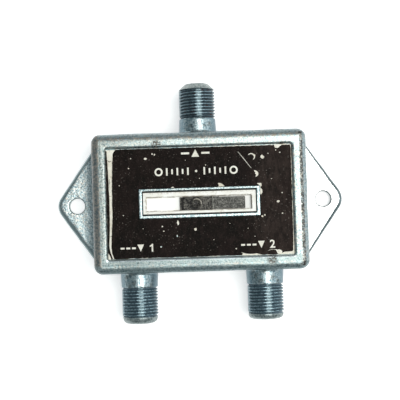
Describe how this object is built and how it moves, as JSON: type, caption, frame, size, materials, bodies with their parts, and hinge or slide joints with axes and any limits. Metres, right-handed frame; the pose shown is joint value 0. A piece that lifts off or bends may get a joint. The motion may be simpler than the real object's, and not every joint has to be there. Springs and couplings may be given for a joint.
{
  "type": "coaxial antenna switch",
  "caption": "Die-cast two-way coaxial antenna selector: box with mounting ears, threaded ports, a black slider in a white guide and a plain front label.",
  "frame": {"origin": "bottom centre of the whole object's box, on the back plane that lies on the wall or table", "axes": "+X along the slider and the mounting ears, towards input B; +Y towards the output port; +Z out of the front"},
  "size_m": [0.077, 0.0624, 0.017],
  "materials": {
    "cast_zinc": "zinc die casting with a thin bright plating that has dulled and mottled to blue-grey",
    "cover_steel": "zinc-plated steel sheet, satin",
    "screw_steel": "zinc-plated steel, satin",
    "label_film": "dark brown-black printed film, worn and chipped down to its cream backing",
    "guide_plastic": "white moulding, lightly grimed in its corners",
    "slider_plastic": "black moulding, rubbed grey",
    "spring_bronze": "phosphor bronze strip, bright",
    "board_laminate": "brown phenolic laminate",
    "contact_metal": "silver-plated brass",
    "insulator_plastic": "natural polyethylene",
    "tinned_wire": "tinned copper wire"
  },
  "bodies": {
    "case": {"housing": "cast_zinc", "back_cover": "cover_steel", "cover_screws": "screw_steel", "front_label": "label_film", "slide_guide": "guide_plastic", "switch_board": "board_laminate", "board_screws": "screw_steel", "board_washers": "screw_steel", "common_strip": "contact_metal", "input_a_strip": "contact_metal", "input_b_strip": "contact_metal", "terminal_rivets": "contact_metal", "insulator_output": "insulator_plastic", "insulator_input_a": "insulator_plastic", "insulator_input_b": "insulator_plastic", "socket_output": "contact_metal", "socket_input_a": "contact_metal", "socket_input_b": "contact_metal", "lead_output": "tinned_wire", "lead_input_a": "tinned_wire", "lead_input_b": "tinned_wire"},
    "slide": {"slider": "slider_plastic", "contact_carrier": "slider_plastic", "wiper_contact": "spring_bronze", "detent_spring": "spring_bronze"}
  },
  "joints": [
    {"name": "input_select", "type": "slide", "parent": "case", "child": "slide", "axis": [1, 0, 0], "range_m": [-0.0065, 0]}
  ]
}
